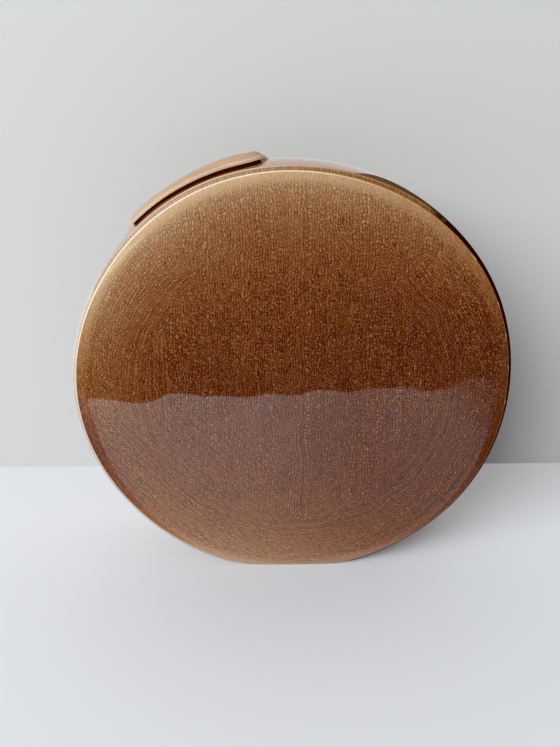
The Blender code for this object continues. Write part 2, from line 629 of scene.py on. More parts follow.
    def build(self, finish: "CrackleGlaze") -> bpy.types.Object:
        """Makes the plate and dresses it.

        Args:
            finish: the glaze.

        Returns:
            The finished piece.
        """
        angles = np.linspace(0, 2 * pi, self.steps, endpoint=False)
        rows, marks = self.section(angles)
        radius, depth = rows[..., 0], rows[..., 1]
        points = np.stack(
            [
                radius * np.cos(angles),
                self.side.value * depth,
                self.disc.axis_height + radius * np.sin(angles),
            ],
            -1,
        )
        points[..., 2] = np.maximum(points[..., 2], 0)
        node = f"{self.side.name.lower()}_face"
        mesh = turned_grid(node, points, marks)
        shape_by_hand(mesh, self.disc)
        smooth_mesh(mesh)
        mesh.materials.append(finish.material())
        return add_piece(f"{self.side.name.lower()}_plate", mesh, finish.slot, node)


class ShapeTree:
    """A geometry node tree that shapes a grid by a rule and gives it a finish."""

    def __init__(self, name: str, sizes: dict[str, float]) -> None:
        """Starts a tree with named inputs.

        Args:
            name: the tree's name.
            sizes: the name and value of each size.
        """
        tree = bpy.data.node_groups.new(name, "GeometryNodeTree")
        tree.is_modifier = True
        self.sizes = sizes
        self.graph = Graph(tree)
        self.keys = {label: self.new_input(label, "NodeSocketFloat") for label in sizes}
        self.keys[FINISH] = self.new_input(FINISH, "NodeSocketMaterial")
        tree.interface.new_socket("Geometry", in_out="OUTPUT", socket_type="NodeSocketGeometry")
        self.inputs = self.graph.node("NodeGroupInput")

    def new_input(self, label: str, kind: str) -> str:
        """Adds a named input to the tree.

        Args:
            label: its name.
            kind: its socket's type.

        Returns:
            The socket's identifier, by which a modifier sets it.
        """
        interface = self.graph.tree.interface
        return interface.new_socket(label, in_out="INPUT", socket_type=kind).identifier

    def size(self, label: str) -> Field:
        """A named input, as a field."""
        return self.inputs.other(label)

    def grid(self, columns: int, rows: int) -> tuple[Field, Field, Field]:
        """A grid to shape.

        Args:
            columns: points along its first direction.
            rows: points along its second direction.

        Returns:
            The grid, and the share from 0 to 1 along each direction.
        """
        counts = {"Size X": 1.0, "Size Y": 1.0, "Vertices X": columns, "Vertices Y": rows}
        sheet = self.graph.node("GeometryNodeMeshGrid", {}, counts)
        x, y, _ = self.graph.parts(self.graph.node("GeometryNodeInputPosition"))
        return sheet, x + 0.5, y + 0.5

    def keep(self, geometry: Field, mark: Mark, value: Field) -> Field:
        """Stores a value at the grid's points under a mark's name."""
        inputs = {"Geometry": geometry, "Name": mark.value, "Value": value}
        return self.graph.node("GeometryNodeStoreNamedAttribute", {"domain": "POINT"}, inputs)

    def finish(self, geometry: Field, place: Field) -> None:
        """Moves the points to their places, closes the seams and ends the tree.

        Args:
            geometry: the grid.
            place: where each point goes.
        """
        steps = (
            ("GeometryNodeSetPosition", {"Position": place}),
            ("GeometryNodeMergeByDistance", {"Distance": WELD}),
            ("GeometryNodeRealizeInstances", {}),
            ("GeometryNodeSetMaterial", {"Material": self.size(FINISH)}),
            ("NodeGroupOutput", {}),
        )
        for kind, inputs in steps:
            geometry = self.graph.node(kind, {}, {"Geometry": geometry, **inputs})

    def mesh(self, finish: bpy.types.Material | None = None) -> bpy.types.Mesh:
        """Runs the tree once.

        Args:
            finish: the material for the result.

        Returns:
            A plain mesh.
        """
        holder = bpy.data.objects.new(self.graph.tree.name, bpy.data.meshes.new("seed"))
        bpy.context.scene.collection.objects.link(holder)
        modifier = holder.modifiers.new("shape", "NODES")
        modifier.node_group = self.graph.tree
        for label, value in self.sizes.items():
            modifier[self.keys[label]] = float(value)
        if finish:
            modifier[self.keys[FINISH]] = finish
        depsgraph = bpy.context.evaluated_depsgraph_get()
        mesh = bpy.data.meshes.new_from_object(holder.evaluated_get(depsgraph))
        bpy.data.objects.remove(holder)
        return mesh


@dataclass
class Mouth:
    """The oval opening in the rim and the raised collar round it."""

    disc: Disc
    tilt: float = radians(25.9)
    length: float = 0.068
    width: float = 0.019
    height: float = 0.0046
    crest_inset: float = 0.0022
    rim_round: float = 0.0018
    end_slope: float = 0.0073
    side_slope: float = 0.0129
    left_narrowing: float = 0.0040
    squareness: float = 2.6
    soft_turn: float = 0.82 * pi
    wall_lean: float = 0.0012
    wall_start: float = 0.68
    wall_share: float = 0.42
    left_wall_loss: float = 0.08
    top_curve: float = 1.2
    sag: float = 0.06
    pale_line: float = 0.32
    path_points: int = 320
    section_points: int = 61
    plug_rows: int = 4

    def sizes(self) -> dict[str, float]:
        """The named inputs of both trees.

        Returns:
            Each input's name and value.
        """
        return {
            "Mouth Angle": pi / 2 + self.tilt,
            "Half Straight": (self.length - self.width) / 2,
            "End Radius": self.width / 2,
            "Height": self.height,
            "Crest Inset": self.crest_inset,
            "Rim Round": self.rim_round,
            "End Slope": self.end_slope,
            "Side Slope": self.side_slope,
            "Wall Lean": self.wall_lean,
        }

    def turning(self, graph: Graph, turn: Field) -> tuple[Field, Field]:
        """Follows the opening's outline: along one side, round an end, along the other side and round.

        Args:
            graph: the tree's graph.
            turn: share from 0 to 1 round the outline.

        Returns:
            The way along the mouth, from 1 at its right end to -1 at its left end, and the angle
            through which the outline has turned.
        """
        quarter = turn * 4
        first, second, third, fourth = (graph.clamped(quarter - step) for step in range(4))
        return 1 - first * 2 + third * 2, (second + fourth) * pi

    def on_rim(
        self,
        tree: ShapeTree,
        outline: tuple[Field, Field],
        spread: Field,
        height: Field,
        scale: Field | float = 1.0,
    ) -> Field:
        """Place over the band of a point on the oval's outline.

        Args:
            tree: the tree that holds the sizes.
            outline: the way along the mouth and the angle turned through.
            spread: distance outside the opening.
            height: height above the band.
            scale: shrinks the outline towards its middle.

        Returns:
            The place, as a vector.
        """
        graph = tree.graph
        reach, turned = outline
        facing = pi / 2 + turned
        radius = tree.size("End Radius") + spread
        middle = tree.size("Half Straight") * reach
        along = (middle + radius * graph.maths("COSINE", facing)) * scale
        across = radius * graph.maths("SINE", facing) * scale
        angle = tree.size("Mouth Angle") - along / self.disc.full_radius
        distance = self.disc.band_radius(across) + height
        return graph.vector(
            distance * graph.maths("COSINE", angle),
            across,
            distance * graph.maths("SINE", angle) + self.disc.axis_height,
        )

    def collar_mesh(self, finish: bpy.types.Material) -> bpy.types.Mesh:
        """The collar, whose slope is soft at its ends and ends in a low steep wall along its sides.

        Args:
            finish: the glaze's material.

        Returns:
            The collar's mesh.
        """
        tree = ShapeTree("collar_shape", self.sizes())
        graph = tree.graph
        sheet, turn, share = tree.grid(self.path_points + 1, self.section_points)
        reach, turned = outline = self.turning(graph, turn)
        sideward = graph.maths("ABSOLUTE", graph.maths("COSINE", turned))
        tipward = graph.maths("ABSOLUTE", graph.maths("SINE", turned))
        sideways = graph.step(sideward, 0.0, 1.0)
        on_left = graph.step(reach, 0.1, -1.0)

        # Six stages: one up the inside, one over the crest, three down the slope and one underneath.
        stage = share * 6
        inside = graph.clamped(stage)
        rounding = graph.clamped(stage - 1) * (pi / 2)
        sloping = graph.clamped((stage - 2) / 3)
        under = graph.clamped(stage - 5)

        crest = tree.size("Crest Inset")
        side_slope = tree.size("Side Slope") - self.left_narrowing * on_left
        oval = tree.size("End Radius") + crest
        at_tip = (tipward / (oval + tree.size("End Slope"))) ** self.squareness
        at_side = (sideward / (oval + side_slope)) ** self.squareness
        slope = (at_tip + at_side) ** (-1 / self.squareness) - oval
        lean = tree.size("Wall Lean")
        on_top = graph.clamped(sloping / self.wall_start)
        on_wall = graph.clamped((sloping - self.wall_start) / (1 - self.wall_start))
        stepped = (slope - lean) * on_top + lean * on_wall
        outwards = slope * sloping * (1 - sideways) + stepped * sideways
        spread = crest * (1 - graph.maths("COSINE", rounding)) + outwards - (crest + slope) * under

        tall = tree.size("Height") * (1 - self.sag * (1 - reach * reach))
        soft_fall = (1 - graph.maths("COSINE", sloping * self.soft_turn)) / (1 - cos(self.soft_turn))
        wall_fall = (1 - graph.maths("COSINE", on_wall * pi)) / 2
        wall_share = self.wall_share - self.left_wall_loss * on_left
        stepped_fall = (1 - wall_share) * on_top**self.top_curve + wall_share * wall_fall
        fall = soft_fall * (1 - sideways) + stepped_fall * sideways
        height = (tall - tree.size("Rim Round")) * inside
        height = height + tree.size("Rim Round") * graph.maths("SINE", rounding) - tall * fall

        # A pale line along the collar's slope: partly thin glaze, partly a painted highlight.
        pale = graph.step(sloping, 0.41, 0.48) * graph.step(sloping, 0.59, 0.52) * self.pale_line
        # A near-black strip low on the collar's sides: partly dark pooled glaze, partly painted shade in
        # the crease at its foot.
        pooled_and_shaded = graph.step(sloping, 0.68, 0.74) * graph.step(sideward - 0.13 * on_left, 0.62, 0.86)
        dressed = tree.keep(sheet, Mark.THIN, pale)
        dressed = tree.keep(dressed, Mark.POOL, pooled_and_shaded)
        dressed = tree.keep(dressed, Mark.RIM, 1 + 0 * turn)
        tree.finish(dressed, self.on_rim(tree, outline, spread, height))
        return tree.mesh(finish)

    def plug_mesh(self, reach: float) -> bpy.types.Mesh:
        """A plug with the opening's outline.

        Args:
            reach: how far it stands out of the band on either side.

        Returns:
            The plug's mesh.
        """
        tree = ShapeTree("mouth_plug", self.sizes())
        graph = tree.graph
        sheet, turn, share = tree.grid(self.path_points + 1, self.plug_rows)
        stage = share * (self.plug_rows - 1)
        scale = graph.clamped(stage) - graph.clamped(stage - 2)
        height = (graph.clamped(stage - 1) * 2 - 1) * reach
        tree.finish(sheet, self.on_rim(tree, self.turning(graph, turn), 0 * turn, height, scale))
        return tree.mesh()

    def build(self, finish: "CrackleGlaze") -> bpy.types.Object:
        """Makes the collar and dresses it.

        Args:
            finish: the glaze.

        Returns:
            The finished piece.
        """
        mesh = self.collar_mesh(finish.material())
        shape_by_hand(mesh, self.disc)
        smooth_mesh(mesh)
        return add_piece("collar", mesh, finish.slot, "mouth_collar")


@dataclass
class Hoop:
    """The band that joins the two faces, open over the foot and cut for the mouth."""

    disc: Disc
    steps: int = 480
    section_points: int = 61

    def shape(self, finish: bpy.types.Material) -> bpy.types.Mesh:
        """The hoop before the mouth is cut.

        Args:
            finish: the glaze's material.

        Returns:
            A closed mesh.
        """
        disc = self.disc
        sizes = {
            "Half Depth": disc.joint_depth,
            "Wall": disc.wall,
            "Foot Drop": disc.axis_height - disc.foot_height,
        }
        tree = ShapeTree("hoop_shape", sizes)
        graph = tree.graph
        sheet, turn, share = tree.grid(self.steps + 3, self.section_points)

        # The first and the last column shrink to a point inside the wall, which closes the ends.
        last = self.steps + 2
        along = graph.clamped((turn * last - 1) / self.steps)
        at_start = graph.maths("LESS_THAN", turn, 0.5 / last)
        at_end = graph.maths("GREATER_THAN", turn, 1 - 0.5 / last)
        closing = at_start + at_end

        # Ten stages: four across the outside, one through the wall, four back inside and one through.
        stage = share * 10
        outer, end = graph.clamped(stage / 4), graph.clamped(stage - 4)
        inner, start = graph.clamped((stage - 5) / 4), graph.clamped(stage - 9)
        open_end = 1 - graph.clamped(closing)
        across = tree.size("Half Depth") * (2 * outer - 2 * inner - 1) * open_end
        inset = tree.size("Wall") * ((end - start) * open_end + 0.5 * (1 - open_end))
        radius = disc.band_radius(across) - inset
        gap = graph.maths("ARCCOSINE", tree.size("Foot Drop") / radius)
        angle = gap - pi / 2 + along * (2 * pi - 2 * gap)
        place = graph.vector(
            radius * graph.maths("COSINE", angle),
            across,
            radius * graph.maths("SINE", angle) + disc.axis_height,
        )
        tree.finish(tree.keep(sheet, Mark.RIM, 1 + 0 * turn), place)
        return tree.mesh(finish)

    def build(self, finish: "CrackleGlaze", mouth: Mouth) -> bpy.types.Object:
        """Makes the hoop, cuts the mouth and dresses it.

        The wall of the cut keeps the plug's empty slot, so it stays without a glaze.

        Args:
            finish: the glaze.
            mouth: the opening to cut.

        Returns:
            The finished piece.
        """
        mesh = self.shape(finish.material())
        smooth_mesh(mesh)
        hoop = bpy.data.objects.new("hoop", mesh)
        plug_mesh = mouth.plug_mesh(self.disc.wall * 2)
        smooth_mesh(plug_mesh)
        plug = bpy.data.objects.new("plug", plug_mesh)
        for item in (hoop, plug):
            bpy.context.scene.collection.objects.link(item)
        cut = hoop.modifiers.new("mouth", "BOOLEAN")
        cut.solver = "EXACT"
        cut.operation = "DIFFERENCE"
        cut.object = plug
        depsgraph = bpy.context.evaluated_depsgraph_get()
        mesh = bpy.data.meshes.new_from_object(hoop.evaluated_get(depsgraph))
        for item in (hoop, plug):
            bpy.data.objects.remove(item)
        shape_by_hand(mesh, self.disc)
        smooth_mesh(mesh)
        return add_piece("rim_band", mesh, finish.slot, "side_band")


@dataclass
class Foot:
    """The slab that closes the hoop where the vase stands."""

    disc: Disc
    slices: int = 24
    side_steps: int = 8
    floor_steps: int = 60
    level: float = 0.9

    def outline(self, across: float) -> list[tuple[float, float, float]]:
        """Points round the slab at one distance from the middle plane.

        Args:
            across: the distance, negative in front.

        Returns:
            The points, down the left side, along the floor, up the right side and back on top.
        """
        disc = self.disc
        radius = disc.band_radius(across)
        heights = np.linspace(disc.foot_height, 0, self.side_steps + 1)
        half = np.sqrt(radius**2 - (disc.axis_height - heights) ** 2)
        left = [(-x, across, z) for x, z in zip(half, heights)]
        low_row = np.linspace(-half[-1], half[-1], self.floor_steps + 1)[1:-1]
        high_row = np.linspace(half[0], -half[0], self.floor_steps + 1)[1:-1]
        floor = [(x, across, 0.0) for x in low_row]
        right = [(x, across, z) for x, z in zip(half[::-1], heights[::-1])]
        top = [(x, across, disc.foot_height) for x in high_row]
        return left + floor + right + top

    def build(self, finish: "BareClay", glaze: "CrackleGlaze") -> bpy.types.Object:
        """Makes the slab, with bare clay where it is level or nearly so and glaze on the rest.

        The lower seven eighths of its sloping sides count as nearly level, so they are bare too.

        Args:
            finish: the clay.
            glaze: the glaze of the hoop that it continues.

        Returns:
            The finished piece.
        """
        depth = self.disc.joint_depth
        loops = [self.outline(across) for across in np.linspace(-depth, depth, self.slices + 1)]
        count = len(loops[0])
        faces = [tuple(range(count)), tuple(range(self.slices * count, (self.slices + 1) * count))]
        for row in range(self.slices):
            for step in range(count):
                after = (step + 1) % count
                low, high = row * count, (row + 1) * count
                faces.append((low + step, low + after, high + after, high + step))
        mesh = bpy.data.meshes.new("foot")
        mesh.from_pydata([point for loop in loops for point in loop], [], faces)
        keep_marks(mesh, {Mark.RIM: np.ones(len(mesh.vertices))})
        smooth_mesh(mesh)
        mesh.materials.append(finish.material())
        mesh.materials.append(glaze.material())
        for face in mesh.polygons:
            face.material_index = 0 if abs(face.normal.z) > self.level else 1
        shape_by_hand(mesh, self.disc)
        return add_piece("foot", mesh, finish.slot, "foot_slab")


@dataclass(frozen=True)
class BareClay:
    """Fired stoneware wiped free of glaze."""

    slot: str = "bare_clay"
    name: str = "fired_clay"
    darker: tuple[float, ...] = (0.36, 0.27, 0.19, 1)
    lighter: tuple[float, ...] = (0.50, 0.40, 0.30, 1)
    iron: tuple[float, ...] = (0.09, 0.045, 0.025, 1)

    def material(self) -> bpy.types.Material:
        """Buff clay with iron specks and a fine sandy tooth.

        Returns:
            The material.
        """
        graph, output = new_material(self.name)
        place = graph.node("ShaderNodeTexCoord", {}, {}, "Object")
        cloud = graph.noise(place, 0.012, 4.0)
        grit = graph.noise(place, 0.0006, 3.0)
        specks = graph.step(graph.noise(place, 0.0011, 1.0), 0.68, 0.74)
        tone = graph.blend(cloud, self.darker, self.lighter)
        tone = graph.blend(specks * 0.7, tone, self.iron)
        bump = graph.node("ShaderNodeBump", {}, {"Strength": 0.6, "Distance": 0.0002, "Height": grit})
        shader = graph.node(
            "ShaderNodeBsdfPrincipled",
            {},
            {"Base Color": tone, "Roughness": 0.75 + grit * 0.2, "Normal": bump},
        )
        graph.tree.links.new(shader.socket, output)
        return bpy.data.materials[self.name]


def new_material(name: str) -> tuple[Graph, bpy.types.NodeSocket]:
    """An empty material.

    Args:
        name: the material's name.

    Returns:
        Its graph, and the socket that takes its surface.
    """
    material = bpy.data.materials.new(name)
    material.use_nodes = True
    graph = Graph(material.node_tree)
    return graph, material.node_tree.nodes.new("ShaderNodeOutputMaterial").inputs["Surface"]


@dataclass(frozen=True)
class Spot:
    """What the glaze reads at a point: its place, its slow and fine noises, and its marks."""

    x: Field
    y: Field
    z: Field
    radius: Field
    height: Field
    cloud: Field
    mottle: Field
    grain: Field
    thin: Field
    pool: Field
    rim: Field

    def facing(self, way: Way) -> Field:
        """How far a direction agrees with that of the point from the axis.

        Args:
            way: the direction.

        Returns:
            1 where they agree, and 0 where they lie at a right angle or more.
        """
        angle = radians(way.value)
        along = self.x * cos(angle) + self.z * sin(angle)
        return self.x.graph.clamped(along / self.radius)


@dataclass(frozen=True)
class CrackleGlaze:
    """Chestnut glaze that breaks to tan where it is thin, with a net of fine stained cracks.

    Lengths are in metres. The tones run from the thickest glaze at 0 to the barest at 1. The gloss
    lies in the shader's coat alone, and the cracks dim it.
    """

    slot: str
    axis_height: float
    ridge_radius: float
    shoulder_radius: float
    edge_tone: float = 0.34
    mist_and_reflection: float = 0.0
    coat: float = 1.0
    face_tone: float = 0.066
    spacing: float = 0.00142
    line_width: float = 0.00050
    centre_border: tuple[float, float] = (0.078, 0.081)
    edge_scale: float = 0.12
    stripe_spacing: float = 0.0016
    fringe: tuple[float, float] = (0.007, 0.003)
    base_roughness: float = 0.10
    bump_depth: float = 0.000015
    wavering: tuple[float, float, float] = (0.020, 2.0, 0.007)
    wobble: tuple[float, float, float] = (0.0032, 1.0, 0.0024)
    tones: tuple[tuple[float, tuple[float, float, float]], ...] = (
        (0.0, (0.100, 0.017, 0.0020)),
        (0.08, (0.158, 0.034, 0.0040)),
        (0.24, (0.252, 0.090, 0.0200)),
        (0.40, (0.340, 0.162, 0.058)),
        (0.56, (0.440, 0.270, 0.134)),
        (0.80, (0.620, 0.440, 0.258)),
        (1.0, (0.850, 0.760, 0.620)),
    )
    pale_grain_and_glint: tuple[float, ...] = (0.50, 0.32, 0.17, 1)
    mist_and_reflection_colour: tuple[float, ...] = (0.52, 0.45, 0.38, 1)
    # Near-black for dark pooled glaze and painted shade.
    pool_and_shade_colour: tuple[float, ...] = (0.022, 0.002, 0.001, 1)
    wiped_colour: tuple[float, ...] = (0.34, 0.25, 0.17, 1)

    @property
    def name(self) -> str:
        """The material's name."""
        return f"crackle_{self.slot}"

    def read_spot(self, graph: Graph) -> tuple[Field, Spot]:
        """Reads the place, the noises and the marks.

        Args:
            graph: the material's graph.

        Returns:
            The place from the disc's centre, as a vector, and the spot.
        """
        from_table = graph.node("ShaderNodeTexCoord", {}, {}, "Object")
        place = graph.vector_maths("SUBTRACT", from_table, (0.0, 0.0, self.axis_height))
        x, y, z = graph.parts(place)
        thin, pool, rim = (
            graph.node("ShaderNodeAttribute", {"attribute_name": mark.value}, {}, "Fac")
            for mark in (Mark.THIN, Mark.POOL, Mark.RIM)
        )
        return place, Spot(
            x=x,
            y=y,
            z=z,
            radius=graph.maths("SQRT", x * x + z * z),
            height=graph.parts(from_table)[2],
            cloud=graph.noise(place, 0.022, 3.0),
            mottle=graph.noise(place, 0.005, 4.0),
            grain=graph.noise(place, 0.00065, 1.0),
            thin=thin,
            pool=pool,
            rim=rim,
        )

    def thinning(self, graph: Graph, spot: Spot) -> Field:
        """Share of tan that shows where the glaze thins towards the edge of a face.

        It is strong and wide at the top left, weaker at the bottom and almost missing on the right. Just
        inside the edge a painted shade darkens the lower left, and a little the right.

        Args:
            graph: the material's graph.
            spot: the point.

        Returns:
            A value that is about 0 in the middle of the face and at most about 1.
        """
        high, low = spot.facing(Way.TOP), spot.facing(Way.BOTTOM)
        left, right = spot.facing(Way.LOWER_LEFT), spot.facing(Way.RIGHT)
        brow = spot.facing(Way.UPPER_LEFT) ** 10.0
        inwards = graph.clamped(self.ridge_radius - spot.radius, 0.0, 1.0)
        amount = 0.16 + 0.64 * high + 0.42 * low**4.0 - 0.20 * right * right + 0.12 * left
        reach = 0.018 + 0.015 * high + 0.014 * low
        wide = amount * graph.maths("EXPONENT", -(inwards / (reach * (0.7 + 0.6 * spot.cloud))))
        narrow = (0.03 + 0.06 * high + 0.20 * brow) * graph.maths("EXPONENT", -(inwards / 0.006))
        # Painted shade just inside the edge, on the lower left and a little on the right, in place of dark
        # reflections there.
        dark = 0.10 * right * right + 0.60 * left**5.0
        return wide + narrow - dark * graph.maths("EXPONENT", -(inwards / 0.0055))

    def shake(self, graph: Graph, place: Field, size: float, detail: float, reach: float) -> Field:
        """A noisy push.

        Args:
            graph: the material's graph.
            place: where it is read.
            size: the size of its waves, in metres.
            detail: how many finer waves ride on them.
            reach: the full span of the push, in metres.

        Returns:
            The push, as a vector.
        """
        inputs = {"Vector": place, "Scale": 1 / size, "Detail": detail}
        push = graph.node("ShaderNodeTexNoise", {}, inputs, "Color")
        centred = graph.vector_maths("SUBTRACT", push, (0.5, 0.5, 0.5))
        return graph.vector_maths("MULTIPLY", centred, (reach,) * 3)

    def edges(self, graph: Graph, place: Field) -> tuple[Field, Field]:
        """Cells of uneven length along a line.

        Args:
            graph: the material's graph.
            place: place along the line, where a cell is about 1 long.

        Returns:
            The distance from the nearest border, and the cell's chance value.
        """
        kind, inputs = "ShaderNodeTexVoronoi", {"W": place, "Scale": 1.0, "Randomness": 0.95}
        line = graph.node(kind, {"voronoi_dimensions": "1D", "feature": "DISTANCE_TO_EDGE"}, inputs)
        cell = graph.node(kind, {"voronoi_dimensions": "1D", "feature": "F1"}, inputs, "Color")
        return line, graph.parts(cell)[0]

    def strands(self, graph: Graph, across: Field, along: Field, *size: float) -> tuple[Field, Field]:
        """Long lines side by side, with short slanted lines between each two.

        Args:
            graph: the material's graph.
            across: place across the long lines, in metres.
            along: place along them.
            size: spacing of the long lines and of the short ones.

        Returns:
            1 on a line and 0 beside it, and a chance value for each cell.
        """
        wide, tall = size
        long_line, strip = self.edges(graph, across / wide)
        slant = across / tall * (strip - 0.5) * 4.0
        short_line, chance = self.edges(graph, along / tall + strip * 9.0 + slant)
        long_line = graph.step(long_line * wide, self.line_width, 0.0)
        short_line = graph.step(short_line * tall, self.line_width, 0.0)
        return graph.maths("MAXIMUM", long_line, short_line), chance

    def net(self, graph: Graph, place: Field, spot: Spot, thick: Field) -> tuple[Field, Field, Field]:
        """The net of cracks: upright over the middle, along the edge near it, with a wider net over both.

        Args:
            graph: the material's graph.
            place: the place from the disc's centre.
            spot: the point.
            thick: 1 where the glaze is thick and 0 where it is thin.

        Returns:
            How dark a crack is there, a chance value for each cell, and the wavering way round the
            disc in metres.
        """
        push = graph.vector_maths(
            "ADD", self.shake(graph, place, *self.wavering), self.shake(graph, place, *self.wobble)
        )
        shift_x, _, shift_z = graph.parts(push)
        x, z = spot.x, spot.z
        around = graph.maths("ARCTAN2", x, -z) * self.edge_scale + shift_x
        outwards = spot.radius * (1 - spot.rim) + spot.y * spot.rim + shift_z
        size = self.spacing, self.spacing * 1.5
        wide_size = self.spacing * 2.6, self.spacing * 3.4
        upright, upright_cell = self.strands(graph, x + shift_x, z + shift_z, *size)
        edgewise, edgewise_cell = self.strands(graph, outwards, around, *size)
        slanted = x * 0.75 + z * 0.66 + shift_x, x * 0.66 - z * 0.75 + shift_z
        wide_net, _ = self.strands(graph, *slanted, *wide_size)

        outer = graph.step(spot.radius + (spot.cloud - 0.5) * 0.04, *self.centre_border)
        below_top = graph.step(z / spot.radius + (spot.cloud - 0.5) * 0.3, 0.79, 0.76)
        near_edge = graph.maths("MAXIMUM", outer * below_top, spot.rim)
        lines = upright * (1 - near_edge) + edgewise * near_edge
        chance = upright_cell * (1 - near_edge) + edgewise_cell * near_edge

        low_left = graph.step(x, 0.02, -0.06) * graph.step(z, 0.01, -0.03)
        crack = lines * (0.64 + 0.36 * thick) * (1 - 0.2 * low_left)
        crack = graph.maths("MAXIMUM", crack, wide_net * (0.5 + 0.35 * low_left))
        crack = crack * (0.86 + 0.2 * graph.step(spot.mottle, 0.4, 0.6))
        beside_ridge = graph.step(spot.radius, *(self.ridge_radius - inset for inset in self.fringe))
        return crack * (1 - 0.6 * beside_ridge), chance, around

    def melt(self, graph: Graph, spot: Spot, tan: Field, thick: Field, chance: Field) -> Field:
        """Colour of the glaze between the cracks.

        Args:
            graph: the material's graph.
            spot: the point.
            tan: share of tan from the thinning.
            thick: 1 where the glaze is thick and 0 where it is thin.
            chance: the cell's chance value.

        Returns:
            The colour.
        """
        tone = (self.face_tone + 0.73 * tan) * (1 - spot.rim) + self.edge_tone * spot.rim
        tone = tone + (spot.mottle - 0.5) * 0.07
        speck = (spot.grain - 0.5) * 0.34 + (chance - 0.5) * 0.12
        speck = speck + graph.step(spot.grain, 0.42, 0.58) * 0.12 - 0.03
        speck = speck * (1 - 0.42 * graph.step(spot.z, 0.01, -0.03))
        tone = graph.clamped(tone + speck * (0.25 + 0.75 * thick))
        # The thin mark makes the ridge lines and the collar's line paler: partly thin glaze, partly a
        # painted highlight.
        tone = graph.clamped(tone + spot.thin * 0.85)
        colour = graph.node("ShaderNodeValToRGB", {"stops": self.tones}, {"Fac": tone}, "Color")
        # Paler cells where the glaze is thick: partly grain, partly painted glints of the crackled gloss.
        pale = graph.clamped((speck - 0.03) * 0.9) * thick
        return graph.blend(pale, colour, self.pale_grain_and_glint)

    def material(self) -> bpy.types.Material:
        """Builds the glaze, or finds it if it is there, on object coordinates and the kept marks.

        Returns:
            The material.
        """
        known = bpy.data.materials.get(self.name)
        if known:
            return known
        graph, output = new_material(self.name)
        place, spot = self.read_spot(graph)
        tan = self.thinning(graph, spot)
        thick = graph.clamped(1 - tan * 1.1) * (1 - spot.rim)
        crack, chance, around = self.net(graph, place, spot, thick)
        colour = self.melt(graph, spot, tan, thick, chance)

        # Greyish tan on the left of the chamfer and of the collar: partly the glaze's own colour, partly a
        # painted reflection of the bright room on the left.
        left = spot.facing(Way.LEFT)
        ridge, shoulder = self.ridge_radius, self.shoulder_radius
        chamfer = graph.step(spot.radius, ridge - 0.0001, ridge + 0.0004)
        chamfer = chamfer * graph.step(spot.radius, shoulder - 0.0002, shoulder - 0.0006)
        misted_and_reflecting = graph.maths("MAXIMUM", chamfer * 0.85, self.mist_and_reflection * spot.rim)
        colour = graph.blend(misted_and_reflecting * left * (1 - spot.thin), colour, self.mist_and_reflection_colour)

        stripes, _ = self.edges(graph, around / self.stripe_spacing)
        stripes = graph.step(stripes, 0.3, 0.1) * chamfer
        crack = graph.maths("MAXIMUM", crack, stripes * (0.75 - 0.3 * left))
        stain = graph.vector(0.32 - 0.10 * thick, 0.15 - 0.12 * thick, 0.07 - 0.06 * thick)
        stained = graph.vector_maths("MULTIPLY", colour, stain)
        colour = graph.blend(crack * (1 - spot.thin * 0.8), colour, stained)

        # Near-black where the pool mark lies. On the right side of the chamfer it is painted shade. In the
        # crease at the collar's foot it is partly dark pooled glaze and partly painted shade. The coat is
        # dimmed there as well.
        pool = graph.step(spot.pool + (spot.mottle - 0.5) * 0.5, 0.35, 0.6)
        colour = graph.blend(pool, colour, self.pool_and_shade_colour)
        wiped = graph.step(spot.height + (spot.cloud - 0.5) * 0.0015, 0.0012, 0.0006)
        colour = graph.blend(wiped, colour, self.wiped_colour)

        relief = spot.grain * 0.3 + spot.mottle * 0.5 - crack * 0.6
        bump = {"Strength": 1.0, "Distance": self.bump_depth, "Height": relief}
        shader = graph.node(
            "ShaderNodeBsdfPrincipled",
            {},
            {
                "Base Color": colour,
                "Roughness": self.base_roughness + crack * 0.12 + wiped * 0.5,
                "Coat Weight": (1 - wiped) * (1 - pool) * (1 - crack * 0.5) * self.coat,
                "Coat Roughness": 0.03,
                "Coat IOR": 2.2,
                "Specular IOR Level": 0.0,
                "Normal": graph.node("ShaderNodeBump", {}, bump),
            },
        )
        graph.tree.links.new(shader.socket, output)
        return bpy.data.materials[self.name]


